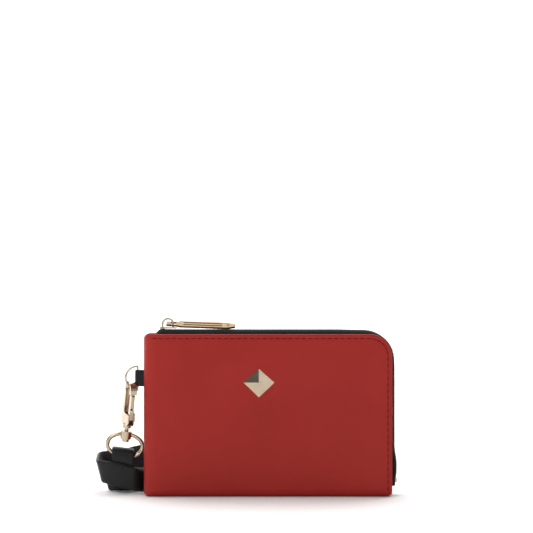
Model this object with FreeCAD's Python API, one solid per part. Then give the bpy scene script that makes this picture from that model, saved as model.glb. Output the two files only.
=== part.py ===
import FreeCAD, Part
import math
import os

from FreeCAD import Vector as V

# A wristlet wallet that closes with an L-shaped zip along its top and right edges. Millimetres.
# +X right, +Y to the back, +Z up. The origin is the centre of the base that it stands on.

# --- the wallet's outside ---
WIDTH = 150.0
HEIGHT = 98.0
DEPTH = 20.0
ZIP_CORNER_R = 13.5
LOW_CORNER_R = 3.0
FOLD_R = 8.0            # the soft turn of the leather at the left side
BASE_FOLD_R = 5.0       # the tighter turn along the base
HALF_W = WIDTH / 2
HALF_D = DEPTH / 2

# --- the layers of a panel, from outside to inside ---
LEATHER = 1.2
STIFFENER = 1.0
LINING = 0.5
WELT = 0.8
FAR = 40.0              # how far a cutting block runs past what it cuts

# --- the line that the free corner of the front panel bends about ---
BEND_TOP_X = -22.0
BEND_SIDE_Z = 20.0
BEND_GAP = 0.4

# --- badge ---
BADGE_X = -5.3
BADGE_Z = 69.0
BADGE_HALF_W = 12.0
BADGE_HALF_H = 11.0
BADGE_T = 1.6
BADGE_BASE_T = 0.5
BADGE_PIN_R = 0.6
BADGE_PIN_STEP = 5.0        # from the badge's middle to each pin

# --- the layers inside ---
DIVIDER_T = 1.0
DIVIDER_LOW = 5.0
DIVIDER_TOP = 88.0
POCKET_T = 0.7
POCKET_X0 = -52.0
POCKET_X1 = 46.0
POCKET_LOW = 7.0
POCKET_TOP = 80.0
POCKET_STEP = 13.0          # each pocket's mouth stands this much lower than the one behind it
POCKET_MOUTH_R = 2.0

# --- zip ---
TAPE = 0.5
TAPE_START_X = -68.5
TAPE_END_Z = 8.0
TEETH_START_X = -61.8
TEETH_END_Z = 11.0
TOOTH_PITCH = 2.4
TOOTH_WIDTH = 1.0
TEETH_LOW = 1.45        # heights above the panels' edge
TEETH_HIGH = 2.75

# --- the stops at both ends of the zip ---
TOP_STOP_X = -68.1
TOP_STOP_L = 2.1
TOP_STOP_IN = 1.0       # measured from the middle of the zip
TOP_STOP_OUT = 2.9
TOP_STOP_LOW = 0.8
TOP_STOP_HIGH = 3.4
END_BOX_LOW = 0.9
END_BOX_HIGH = 3.3
END_BOX_HALF_W = 3.0
END_GAP = 0.3

# --- slider and its pull tab ---
SLIDER_X0 = -65.5
SLIDER_X1 = -55.0
SLIDER_HALF_W = 4.0
PLATE_LOW = (0.1, 1.0)
PLATE_HIGH = (3.1, 4.1)
BRIDGE_X = -60.5
BRIDGE_Z = HEIGHT + 5.9
BRIDGE_R = 3.2
BRIDGE_WIRE_R = 0.6
PULL_LENGTH = 41.0
PULL_WIDTH = 8.0
PULL_THICK = 1.2
PULL_LEAN = 20.0
PULL_DROOP = 2.0
PULL_EYE = (1.8, 5.0, 1.85)         # start, end and half width of the opening round the arch
PULL_SLOT = (9.5, 33.0, 1.65, 0.75)     # start, end, distance off the middle and half width
PULL_HOLE_R = 0.8
PULL_HOLE_IN = 4.5                  # in from the tip
PULL_NECK_HALF_W = 2.6

# --- D-ring and the leather tab that holds it ---
RING_X = -78.9
RING_Z = 71.0
RING_R = 7.2
RING_WIRE_R = 0.6
SIDE_TAB_H = 10.4
SIDE_TAB_HALF_T = 1.3
SIDE_TAB_NOSE_R = 1.6
SIDE_TAB_END_X = -66.0

# --- clasp, in its own frame: p across, t through, q up from the neck ---
CLASP_UP = V(0.115, -0.2, 0.973)
CLASP_FACE = V(-0.91, -0.41, 0.0)
HOOK_ANGLE = 236.0      # where on the D-ring the hook hangs
CLASP_W = 12.0
CLASP_T = 4.0
CLASP_TOP = 29.0
WINDOW_W = 5.0
WINDOW_LOW = 9.0
WINDOW_TOP = 26.2
WIRE_Q = 25.0
GATE_TOP = 21.6
FLARE_R = 1.0           # the eye of the hook flares to both faces, so that the ring's wire can lie askew
FLARE_DEPTH = 2.2
FLARE_SLOPE = 1.32
PIVOT_P = 4.1
PIVOT_Q = 6.6
PIVOT_R = 0.8
PIVOT_HEAD_R = 3.9
PIVOT_HEAD_T = 0.8
PIVOT_HEAD_IN = 3.0     # the pin's head is a broad disc, centred this far in from the pin

# --- swivel, below the neck ---
RIVET_R = 1.2
BOSS_R = 3.5
BOSS_TOP = -2.0
BOSS_LOW = -7.0
LOOP_WIRE_R = 1.25
LOOP_HALF_W = 10.8
LOOP_HALF_H = 7.6
LOOP_END_R = 6.0
LOOP_CENTRE_Q = -11.6

# --- wrist strap: a band that stands on its edge, seen from above as four lanes behind the wallet ---
STRAP_T = 2.0
STRAP_W = 14.0
STRAP_TAB_W = 13.5
STRAP_TAB_T = 1.3
STRAP_TAB_SLOT = 4.2
STRAP_TAB_FOLD_UP = 2.6     # how far the fold's centre stands above the ring wire
LANE_1 = 12.6
LANE_STEP = 4.8
LANE_END_X = -20.0
LOOP_LEFT_X = -92.4
LOOP_R = 11.6
LOOP_LIFT = 7.0             # the loop's left end rides up on the strap below it
LOOP_SPLIT_X = -72.0


def box(x0, x1, y0, y1, z0, z1):
    return Part.makeBox(x1 - x0, y1 - y0, z1 - z0, V(x0, y0, z0))


def rod(start, direction, radius, length):
    return Part.makeCylinder(radius, length, start, direction)


def prism(points, push):
    """A closed polygon pushed along a vector."""
    return Part.Face(Part.makePolygon(points + [points[0]])).extrude(push)


def rounded(points, radii, push):
    """A polygon with a radius at each corner, pushed along a vector."""
    edges = []
    ends = []
    for i, corner in enumerate(points):
        before = (points[i - 1] - corner).normalize()
        after = (points[(i + 1) % len(points)] - corner).normalize()
        half = before.getAngle(after) / 2
        reach = radii[i] / math.tan(half)
        middle = (before + after).normalize() * (radii[i] / math.sin(half) - radii[i])
        ends.append((corner + before * reach, corner + middle, corner + after * reach))
    for i, (start, middle, end) in enumerate(ends):
        edges.append(Part.Arc(start, middle, end).toShape())
        following = ends[(i + 1) % len(ends)][0]
        if end.distanceToPoint(following) > 1e-6:
            edges.append(Part.makeLine(end, following))
    return Part.Face(Part.Wire(edges)).extrude(push)


# ---------------------------------------------------------------- leather panels

def half_block(inset, side, open_past=0.0):
    """Half of the wallet's outline, front (side -1) or back (side 1), inset at its closed edges and face."""
    left = -HALF_W + inset
    low = inset
    right = HALF_W + open_past
    top = HEIGHT + open_past
    face = HALF_D - inset
    corner = ZIP_CORNER_R if open_past == 0 else 1.0
    low_r = max(LOW_CORNER_R - inset, 0.5)
    outline = rounded(
        [V(left, -FAR, low), V(right, -FAR, low), V(right, -FAR, top), V(left, -FAR, top)],
        [low_r, low_r, corner, low_r],
        V(0, 2 * FAR, 0),
    )
    fold = FOLD_R - inset
    across = rounded(
        [V(left, side * face, -FAR), V(FAR * 3, side * face, -FAR), V(FAR * 3, -side, -FAR), V(left, -side, -FAR)],
        [fold, 0.5, 0.5, 0.5],
        V(0, 0, HEIGHT + 2 * FAR),
    )
    base_fold = BASE_FOLD_R - inset
    upright = rounded(
        [V(-FAR * 3, side * face, low), V(-FAR * 3, side * face, FAR * 4),
         V(-FAR * 3, -side, FAR * 4), V(-FAR * 3, -side, low)],
        [base_fold, 0.5, 0.5, 0.5],
        V(FAR * 6, 0, 0),
    )
    return outline.common(across).common(upright)


def leather_half(side):
    """The outer leather of one half: a flat face that turns in at the left side and the base."""
    shell = half_block(0.0, side).cut(half_block(LEATHER, side, FAR))
    keep = box(-FAR * 3, FAR * 3, WELT / 2, FAR, -FAR, FAR * 4)
    if side < 0:
        keep = box(-FAR * 3, FAR * 3, -FAR, -WELT / 2, -FAR, FAR * 4)
    return shell.common(keep).cut(side_tab_slot())


def side_tab_slot():
    reach = SIDE_TAB_HALF_T + 0.1
    low = RING_Z - SIDE_TAB_H / 2 - 0.1
    return box(-HALF_W - 5, -HALF_W + 6, -reach, reach, low, low + SIDE_TAB_H + 0.2)


def sheet(side, outer, thick, inset, top_inset):
    """A flat inner layer of one half, its outer face a given depth below the leather's face."""
    face = HALF_D - outer
    corner = ZIP_CORNER_R - top_inset
    left = -HALF_W + inset
    right = HALF_W - top_inset
    top = HEIGHT - top_inset
    y = face - thick if side > 0 else -face
    return rounded(
        [V(left, y, inset), V(right, y, inset), V(right, y, top), V(left, y, top)],
        [2.0, 2.0, corner, 2.0],
        V(0, thick, 0),
    )


def bend_side(flap):
    """The block on one side of the bend line: the free corner, or the part that stays."""
    line = V(HALF_W - BEND_TOP_X, 0, BEND_SIDE_Z - HEIGHT).normalize()
    out = V(-line.z, 0, line.x)
    shift = out * (BEND_GAP / 2 if flap else -BEND_GAP / 2)
    away = out * (2 * FAR * 3 if flap else -2 * FAR * 3)
    start = V(BEND_TOP_X, -FAR, HEIGHT) + shift
    first = start - line * FAR * 4
    second = start + line * FAR * 8
    return prism([first, second, second + away, first + away], V(0, 2 * FAR, 0))


def seam_welt():
    """The strip of leather caught in the seam between the two halves, at the left side and the base."""
    half = WELT / 2
    outline = half_block(0.0, 1).common(box(-FAR * 3, FAR * 3, 0, half, -FAR, FAR * 4))
    whole = outline.fuse(half_block(0.0, -1).common(box(-FAR * 3, FAR * 3, -half, 0, -FAR, FAR * 4)))
    room = box(-HALF_W + 4, FAR * 3, -FAR, FAR, 4, FAR * 4)
    end = box(HALF_W - 4, HALF_W + 5, -FAR, FAR, -FAR, FAR)
    top = box(-FAR * 3, FAR * 3, -FAR, FAR, HEIGHT - 4, FAR * 4)
    return whole.cut(room).cut(side_tab_slot()).cut(end).cut(top).removeSplitter()


# ---------------------------------------------------------------- inside

def divider():
    """The middle wall, a stiff sheet that parts the two compartments."""
    left = SIDE_TAB_END_X + 1.0
    right = HALF_W - 8
    y = -DIVIDER_T / 2
    return rounded(
        [V(left, y, DIVIDER_LOW), V(right, y, DIVIDER_LOW), V(right, y, DIVIDER_TOP), V(left, y, DIVIDER_TOP)],
        [3, 3, 10, 3],
        V(0, DIVIDER_T, 0),
    )


def card_pocket(number):
    """One of the stepped card pockets sewn to the back lining: each one stands lower and further forward."""
    inner = HALF_D - LEATHER - STIFFENER - LINING
    y = inner - POCKET_T * (number + 1)
    top = POCKET_TOP - POCKET_STEP * number
    return rounded(
        [V(POCKET_X0, y, POCKET_LOW), V(POCKET_X1, y, POCKET_LOW), V(POCKET_X1, y, top), V(POCKET_X0, y, top)],
        [1, 1, POCKET_MOUTH_R, POCKET_MOUTH_R],
        V(0, POCKET_T, 0),
    )


# ---------------------------------------------------------------- zip

def along_zip(profile, start_x, end_z):
    """A profile of (y, height above the edge) points carried along the top, round the corner and down."""
    turn_x = HALF_W - ZIP_CORNER_R
    turn_z = HEIGHT - ZIP_CORNER_R
    section = [V(turn_x, y, HEIGHT + h) for y, h in profile]
    face = Part.Face(Part.makePolygon(section + [section[0]]))
    top = face.extrude(V(start_x - turn_x, 0, 0))
    corner = face.revolve(V(turn_x, 0, turn_z), V(0, 1, 0), 90)
    lower = [V(HALF_W + h, y, turn_z) for y, h in profile]
    side = Part.Face(Part.makePolygon(lower + [lower[0]])).extrude(V(0, 0, end_z - turn_z))
    return top.fuse([corner, side]).removeSplitter()


def tape(side):
    """One fabric tape: sewn flat under the leather's edge, then arching in over the mouth."""
    sewn = HALF_D - LEATHER - 0.1
    outer = [(sewn, -6.5), (sewn, -0.6), (sewn - 1.2, 1.0), (sewn - 3.4, 1.95), (2.4, 2.35)]
    inner = [(2.4, 1.85), (sewn - 3.5, 1.45), (sewn - 1.6, 0.65), (sewn - TAPE, -0.8), (sewn - TAPE, -6.5)]
    strip = along_zip([(side * y, h) for y, h in outer + inner], TAPE_START_X, TAPE_END_Z)
    return strip.cut(leather_half(side))


def zip_places(offset):
    """Where the teeth stand, from the slider's end: (place, angle about +Y) at each pitch along the zip."""
    turn_x = HALF_W - ZIP_CORNER_R
    turn_z = HEIGHT - ZIP_CORNER_R
    top_run = turn_x - TEETH_START_X
    mid_h = (TEETH_LOW + TEETH_HIGH) / 2
    arc_run = math.pi / 2 * (ZIP_CORNER_R + mid_h)
    whole = top_run + arc_run + turn_z - TEETH_END_Z
    count = int((whole - TOOTH_WIDTH) / TOOTH_PITCH)
    for i in range(count):
        run = offset + TOOTH_WIDTH / 2 + i * TOOTH_PITCH
        if run <= top_run:
            yield V(TEETH_START_X + run, 0, HEIGHT), 0.0
        elif run <= top_run + arc_run:
            angle = (run - top_run) / arc_run * 90.0
            lean = math.radians(angle)
            yield V(turn_x + ZIP_CORNER_R * math.sin(lean), 0, turn_z + ZIP_CORNER_R * math.cos(lean)), angle
        else:
            yield V(HALF_W, 0, turn_z - (run - top_run - arc_run)), 90.0


def teeth(side):
    """One row of metal teeth on its bead, each row half a pitch on from the other so that they mesh."""
    bead = along_zip(
        [(side * 2.4, TEETH_LOW), (side * 2.4, TEETH_HIGH), (side * 1.2, TEETH_HIGH), (side * 1.2, TEETH_LOW)],
        TEETH_START_X, TEETH_END_Z,
    )
    heads = []
    for place, angle in zip_places(0.0 if side > 0 else TOOTH_PITCH / 2):
        low, high = (-0.9, 1.3) if side > 0 else (-1.3, 0.9)
        head = box(-TOOTH_WIDTH / 2, TOOTH_WIDTH / 2, low, high, TEETH_LOW + 0.1, TEETH_HIGH - 0.1)
        head.Placement = FreeCAD.Placement(place, FreeCAD.Rotation(V(0, 1, 0), angle))
        heads.append(head)
    return bead.fuse(heads).removeSplitter()


def top_stop(side):
    """A metal stop pinched on one tape just past the slider."""
    y0, y1 = sorted((side * TOP_STOP_IN, side * TOP_STOP_OUT))
    block = box(TOP_STOP_X, TOP_STOP_X + TOP_STOP_L, y0, y1, HEIGHT + TOP_STOP_LOW, HEIGHT + TOP_STOP_HIGH)
    return block.cut(tape(side))


def bottom_stop():
    """The metal box that joins both rows at the low end."""
    low, high = TAPE_END_Z + END_GAP, TEETH_END_Z - END_GAP
    block = box(HALF_W + END_BOX_LOW, HALF_W + END_BOX_HIGH, -END_BOX_HALF_W, END_BOX_HALF_W, low, high)
    return block.cut(tape(1)).cut(tape(-1))


def slider_body():
    """Two plates with the teeth between them, joined at the nose by a wedge that parts the rows."""
    low, high = PLATE_LOW, PLATE_HIGH
    length = SLIDER_X1 - SLIDER_X0
    plates = []
    for bottom, top in (low, high):
        plate = rounded(
            [V(SLIDER_X0, -SLIDER_HALF_W, HEIGHT + bottom), V(SLIDER_X1, -SLIDER_HALF_W * 0.8, HEIGHT + bottom),
             V(SLIDER_X1, SLIDER_HALF_W * 0.8, HEIGHT + bottom), V(SLIDER_X0, SLIDER_HALF_W, HEIGHT + bottom)],
            [2.6, 1.0, 1.0, 2.6],
            V(0, 0, top - bottom),
        )
        plates.append(plate)
    wedge = prism(
        [V(SLIDER_X0 + 0.4, -1.6, HEIGHT + low[1] - 0.1), V(SLIDER_X0 + length * 0.32, 0, HEIGHT + low[1] - 0.1),
         V(SLIDER_X0 + 0.4, 1.6, HEIGHT + low[1] - 0.1)],
        V(0, 0, high[0] - low[1] + 0.2),
    )
    return plates[0].fuse([plates[1], wedge]).removeSplitter()


def slider_bridge():
    """The wire arch on the slider that the pull tab's eye swings on."""
    plate_top = HEIGHT + PLATE_HIGH[1]
    arch = Part.makeTorus(BRIDGE_R, BRIDGE_WIRE_R, V(BRIDGE_X, 0, BRIDGE_Z), V(0, 1, 0))
    arch = arch.common(box(-80, -40, -5, 5, BRIDGE_Z, BRIDGE_Z + 10))
    legs = [
        rod(V(BRIDGE_X + side * BRIDGE_R, 0, plate_top), V(0, 0, 1), BRIDGE_WIRE_R, BRIDGE_Z - plate_top)
        for side in (-1, 1)
    ]
    return arch.fuse(legs).removeSplitter()


def pull_tab():
    """The flat metal pull: an eye on the arch, a widening neck, then a long frame with a slot."""
    half = PULL_WIDTH / 2
    neck = PULL_NECK_HALF_W
    low = -PULL_THICK / 2
    outline = [
        V(-0.9, -neck, low), V(5.0, -neck, low), V(7.5, -half, low), V(PULL_LENGTH - 5, -half, low),
        V(PULL_LENGTH, -1.8, low), V(PULL_LENGTH, 1.8, low), V(PULL_LENGTH - 5, half, low), V(7.5, half, low),
        V(5.0, neck, low), V(-0.9, neck, low),
    ]
    up = V(0, 0, PULL_THICK)
    body = rounded(outline, [0.7, 0.8, 1.0, 2.0, 1.2, 1.2, 2.0, 1.0, 0.8, 0.7], up)
    eye = box(PULL_EYE[0], PULL_EYE[1], -PULL_EYE[2], PULL_EYE[2], -2, 2)
    start, end, off, wide = PULL_SLOT
    slots = [box(start, end, side * off - wide, side * off + wide, -2, 2) for side in (-1, 1)]
    hole = rod(V(PULL_LENGTH - PULL_HOLE_IN, 0, -2), V(0, 0, 1), PULL_HOLE_R, 4)
    tab = body.cut(eye)
    for slot in slots:
        tab = tab.cut(slot)
    tab = tab.cut(hole)
    lean = FreeCAD.Rotation(V(1, 0, 0), PULL_LEAN)
    droop = FreeCAD.Rotation(V(0, 1, 0), PULL_DROOP)
    tab.Placement = FreeCAD.Placement(V(BRIDGE_X, 0, BRIDGE_Z), droop.multiply(lean))
    return tab


# ---------------------------------------------------------------- D-ring

def side_tab():
    """The folded leather tab in the left seam, with the D-ring's bar in its fold."""
    low = RING_Z - SIDE_TAB_H / 2
    legs = box(RING_X, SIDE_TAB_END_X, -SIDE_TAB_HALF_T, SIDE_TAB_HALF_T, low, low + SIDE_TAB_H)
    nose = rod(V(RING_X, 0, low), V(0, 0, 1), SIDE_TAB_NOSE_R, SIDE_TAB_H)
    bore = rod(V(RING_X, 0, low - 1), V(0, 0, 1), RING_WIRE_R + 0.1, SIDE_TAB_H + 2)
    return legs.fuse(nose).removeSplitter().cut(bore)


def d_ring():
    """A thin wire D: its straight bar stands in the side tab, and its bow reaches out to the left."""
    bow = Part.makeTorus(RING_R, RING_WIRE_R, V(RING_X, 0, RING_Z), V(0, 1, 0))
    bow = bow.common(box(RING_X - 20, RING_X, -5, 5, RING_Z - 20, RING_Z + 20))
    bar = rod(V(RING_X, 0, RING_Z - RING_R), V(0, 0, 1), RING_WIRE_R, 2 * RING_R)
    ends = [Part.makeSphere(RING_WIRE_R, V(RING_X, 0, RING_Z + side * RING_R)) for side in (-1, 1)]
    return bow.fuse([bar] + ends).removeSplitter()


# ---------------------------------------------------------------- clasp

def clasp_frame():
    """The neck's place and the clasp's directions: across, through and up."""
    up = V(CLASP_UP).normalize()
    face = V(CLASP_FACE)
    through = (face - up * face.dot(up)).normalize()
    across = up.cross(through)
    lean = math.radians(HOOK_ANGLE)
    wire = V(RING_X + RING_R * math.cos(lean), 0, RING_Z + RING_R * math.sin(lean))
    return wire - up * WIRE_Q, across, through, up


def in_clasp(shape):
    """Put a shape drawn with p along X, t along Y and q along Z into the clasp's place."""
    neck, across, through, up = clasp_frame()
    turn = FreeCAD.Rotation(across, -through, up, "ZXY")
    out = shape.copy()
    out.Placement = FreeCAD.Placement(neck, turn)
    return out


def clasp_outline(inset, low, high, thick):
    half = CLASP_W / 2 - inset
    return rounded(
        [V(-half, -thick / 2, low), V(half, -thick / 2, low), V(half, -thick / 2, high), V(-half, -thick / 2, high)],
        [min(3.0, half - 0.1), min(3.0, half - 0.1), half - 0.05, half - 0.05],
        V(0, thick, 0),
    )


def clasp_body():
    """The hook: a spine, a round top that turns over the ring, and a forked foot for the gate."""
    slab = clasp_outline(0, 1.6, CLASP_TOP, CLASP_T)
    half = WINDOW_W / 2
    window = rounded(
        [V(-half, -5, WINDOW_LOW), V(half, -5, WINDOW_LOW), V(half, -5, WINDOW_TOP), V(-half, -5, WINDOW_TOP)],
        [1.0, 1.0, half - 0.05, half - 0.05],
        V(0, 10, 0),
    )
    mouth = box(half - 1.0, 10, -5, 5, WINDOW_LOW, GATE_TOP + 0.4)
    fork = box(0.9, 10, -1.3, 1.3, 3.4, WINDOW_LOW + 1)
    pin_hole = rod(V(PIVOT_P, -5, PIVOT_Q), V(0, 1, 0), PIVOT_R + 0.02, 10)
    collar = rod(V(0, 0, 0), V(0, 0, 1), 2.75, 2.4)
    rivet_hole = rod(V(0, 0, -1), V(0, 0, 1), RIVET_R + 0.02, 3.0)
    body = slab.cut(window).cut(mouth).cut(fork).fuse(collar).removeSplitter()
    for side in (-1, 1):
        flare = Part.makeCone(FLARE_R, FLARE_R + FLARE_DEPTH * FLARE_SLOPE, FLARE_DEPTH,
                              V(0, 0, WIRE_Q), V(0, side, 0))
        body = body.cut(flare)
    return in_clasp(body.cut(pin_hole).cut(rivet_hole))


def clasp_gate():
    """The sprung gate, on its pin in the fork, with a thumb knob on its outside."""
    bar = rounded(
        [V(WINDOW_W / 2 + 0.1, -1.1, PIVOT_Q), V(CLASP_W / 2 - 0.2, -1.1, PIVOT_Q),
         V(CLASP_W / 2 - 0.2, -1.1, GATE_TOP), V(WINDOW_W / 2 + 0.1, -1.1, GATE_TOP)],
        [0.3, 0.3, 0.9, 0.3],
        V(0, 2.2, 0),
    )
    knuckle = rod(V(PIVOT_P, -1.1, PIVOT_Q), V(0, 1, 0), 1.8, 2.2)
    knob = rod(V(CLASP_W / 2 - 0.8, 0, 11.5), V(1, 0, 0.25), 1.0, 2.6)
    bore = rod(V(PIVOT_P, -5, PIVOT_Q), V(0, 1, 0), PIVOT_R + 0.05, 10)
    return in_clasp(bar.fuse([knuckle, knob]).removeSplitter().cut(bore))


def gate_pin():
    """The pin through the fork, with a domed disc of a head on the side that shows."""
    shank = rod(V(PIVOT_P, -CLASP_T / 2, PIVOT_Q), V(0, 1, 0), PIVOT_R, CLASP_T + 0.3)
    head = rod(V(PIVOT_P - PIVOT_HEAD_IN, CLASP_T / 2, PIVOT_Q), V(0, 1, 0), PIVOT_HEAD_R, PIVOT_HEAD_T)
    return in_clasp(shank.fuse(head).removeSplitter())


def gate_spring():
    """The gate's coil spring, in the foot of the window beside the gate, as its outer shape."""
    return in_clasp(rod(V(-1.3, 0, WINDOW_LOW + 0.6), V(0, 0, 1), 0.8, 3.0))


def swivel_rivet():
    """The rivet that joins the neck to the swivel boss, headed below it."""
    shank = rod(V(0, 0, BOSS_LOW - 0.2), V(0, 0, 1), RIVET_R, 2.0 - BOSS_LOW + 0.1)
    cap = rod(V(0, 0, BOSS_LOW - 1.9), V(0, 0, 1), 2.2, 1.7)
    return in_clasp(shank.fuse(cap).removeSplitter())


def loop_frame():
    """The swivel loop shares the clasp's axis, and its flat side faces forward."""
    neck, _, _, up = clasp_frame()
    back = V(0, 1, 0)
    back = (back - up * back.dot(up)).normalize()
    across = back.cross(up)
    return neck, across, back, up


def in_loop(shape):
    neck, across, back, up = loop_frame()
    out = shape.copy()
    out.Placement = FreeCAD.Placement(neck, FreeCAD.Rotation(across, back, up, "ZXY"))
    return out


def wire_arc(centre, radius, start, sweep):
    """A round wire bent to an arc in the XZ plane; angles run from +X towards +Z."""
    lean = math.radians(start)
    place = V(centre.x + radius * math.cos(lean), 0, centre.z + radius * math.sin(lean))
    tangent = V(-math.sin(lean), 0, math.cos(lean))
    circle = Part.Face(Part.Wire(Part.makeCircle(LOOP_WIRE_R, place, tangent)))
    return circle.revolve(centre, V(0, -1, 0), sweep)


def swivel_loop():
    """An oval wire loop with the boss that turns on the rivet."""
    end_x = LOOP_HALF_W - LOOP_END_R
    rise = LOOP_HALF_H - LOOP_END_R
    sink = (end_x ** 2 - rise ** 2) / (2 * rise)
    flat_r = LOOP_HALF_H + sink
    turn = math.degrees(math.atan2(end_x, sink))
    q = LOOP_CENTRE_Q
    wires = [
        wire_arc(V(0, 0, q - sink), flat_r, 90 - turn, 2 * turn),
        wire_arc(V(0, 0, q + sink), flat_r, 270 - turn, 2 * turn),
        wire_arc(V(end_x, 0, q), LOOP_END_R, turn - 90, 180 - 2 * turn),
        wire_arc(V(-end_x, 0, q), LOOP_END_R, 90 + turn, 180 - 2 * turn),
    ]
    boss = rod(V(0, 0, BOSS_LOW), V(0, 0, 1), BOSS_R, BOSS_TOP - BOSS_LOW)
    bore = rod(V(0, 0, BOSS_LOW - 3), V(0, 0, 1), RIVET_R + 0.06, 8)
    return in_loop(wires[0].fuse(wires[1:] + [boss]).removeSplitter().cut(bore))


# ---------------------------------------------------------------- strap

def loop_bottom():
    """The middle of the loop's lower wire, which the strap hangs on."""
    neck, _, _, up = loop_frame()
    return neck + up * (LOOP_CENTRE_Q - LOOP_HALF_H)


def strap_tab():
    """The strap's narrow end, folded over the loop's lower wire, its two layers sewn together below."""
    mid = loop_bottom()
    x0 = mid.x - STRAP_TAB_W / 2
    half = STRAP_TAB_SLOT / 2
    outer = half + STRAP_TAB_T
    top = mid.z + STRAP_TAB_FOLD_UP
    flat = box(x0, x0 + STRAP_TAB_W, mid.y - outer, mid.y + outer, 0.0, top)
    fold = rod(V(x0, mid.y, top), V(1, 0, 0), outer, STRAP_TAB_W)
    slot = box(x0 - 1, x0 + STRAP_TAB_W + 1, mid.y - half, mid.y + half, mid.z - 2.6, top)
    slot_top = rod(V(x0 - 1, mid.y, top), V(1, 0, 0), half, STRAP_TAB_W + 2)
    return flat.fuse(fold).removeSplitter().cut(slot).cut(slot_top)


def lane_run(start, end, low, high):
    """A straight stretch of the standing band, seen from above from one (x, y) to another."""
    (x0, y0), (x1, y1) = start, end
    along = V(x1 - x0, y1 - y0, 0).normalize()
    side = V(-along.y, along.x, 0) * (STRAP_T / 2)
    first = V(x0, y0, low)
    second = V(x1, y1, low)
    return prism([first + side, second + side, second - side, first - side], V(0, 0, high - low))


def lane_turn(x, y, radius, towards, low, high):
    """A half turn of the standing band about an upright axis, open towards -X (1) or +X (-1)."""
    outer = rod(V(x, y, low), V(0, 0, 1), radius + STRAP_T / 2, high - low)
    ring = outer.cut(rod(V(x, y, low - 1), V(0, 0, 1), radius - STRAP_T / 2, high - low + 2))
    x0, x1 = sorted((x, x + towards * 3 * radius))
    return ring.common(box(x0, x1, y - 3 * radius, y + 3 * radius, low - 1, high + 1))


def strap_loop_end():
    """The loop's round left end, which passes in front of the tab and behind it."""
    low = LOOP_LIFT
    high = LOOP_LIFT + STRAP_W
    centre_y = LANE_1 + 1.5 * LANE_STEP - LOOP_R / 2.7
    front = centre_y - LOOP_R
    back = centre_y + LOOP_R
    lane_4 = LANE_1 + 3 * LANE_STEP
    past_tab = loop_bottom().x + STRAP_TAB_W / 2 + 1.1
    pieces = [
        lane_turn(LOOP_LEFT_X, centre_y, LOOP_R, -1, low, high),
        lane_run((LOOP_LEFT_X, front), (past_tab, front), low, high),
        lane_run((past_tab - 0.3, front - 0.3), (LOOP_SPLIT_X, LANE_1), low, high),
        lane_run((LOOP_LEFT_X, back), (LOOP_SPLIT_X, lane_4), low, high),
    ]
    return pieces[0].fuse(pieces[1:]).removeSplitter()


def strap_lanes():
    """The rest of the band: out behind the wallet in four lanes, folded back at their right ends."""
    lanes = [LANE_1 + i * LANE_STEP for i in range(4)]
    tab_end = loop_bottom().x + STRAP_TAB_W / 2 + 0.2
    starts = [LOOP_SPLIT_X + 0.05, tab_end, tab_end, LOOP_SPLIT_X + 0.05]
    turn_r = LANE_STEP / 2
    pieces = [lane_run((x, y), (LANE_END_X, y), 0.0, STRAP_W) for x, y in zip(starts, lanes)]
    for y in (lanes[0] + turn_r, lanes[2] + turn_r):
        pieces.append(lane_turn(LANE_END_X, y, turn_r, 1, 0.0, STRAP_W))
    first = pieces[0].fuse([pieces[1], pieces[4]]).removeSplitter()
    second = pieces[2].fuse([pieces[3], pieces[5]]).removeSplitter()
    return Part.makeCompound([first, second])


# ---------------------------------------------------------------- badge

def badge():
    """A plain faceted lozenge of metal on the front."""
    y = -HALF_D
    rim = [
        V(BADGE_X - BADGE_HALF_W, y, BADGE_Z), V(BADGE_X, y, BADGE_Z - BADGE_HALF_H),
        V(BADGE_X + BADGE_HALF_W, y, BADGE_Z), V(BADGE_X, y, BADGE_Z + BADGE_HALF_H),
    ]
    raise_by = V(0, -BADGE_BASE_T, 0)
    base = prism(rim, raise_by)
    peak = V(BADGE_X, y - BADGE_T, BADGE_Z)
    lifted = [p + raise_by for p in rim]
    faces = [Part.Face(Part.makePolygon(lifted + [lifted[0]]))]
    for i, corner in enumerate(lifted):
        following = lifted[(i + 1) % 4]
        faces.append(Part.Face(Part.makePolygon([corner, following, peak, corner])))
    crown = Part.Solid(Part.Shell(faces))
    if crown.Volume < 0:
        crown.reverse()
    return base.fuse(crown)


def badge_pin(side):
    """One of the two pins that hold the badge, through the leather and stiffener."""
    start = V(BADGE_X + side * BADGE_PIN_STEP, -HALF_D, BADGE_Z)
    return rod(start, V(0, 1, 0), BADGE_PIN_R, LEATHER + STIFFENER - 0.3)


def badge_washer():
    """A thin plate behind the leather that the two pins are clenched over."""
    face = -HALF_D + LEATHER
    return box(BADGE_X - 7, BADGE_X + 7, face, face + 0.3, BADGE_Z - 2.5, BADGE_Z + 2.5)


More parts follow.
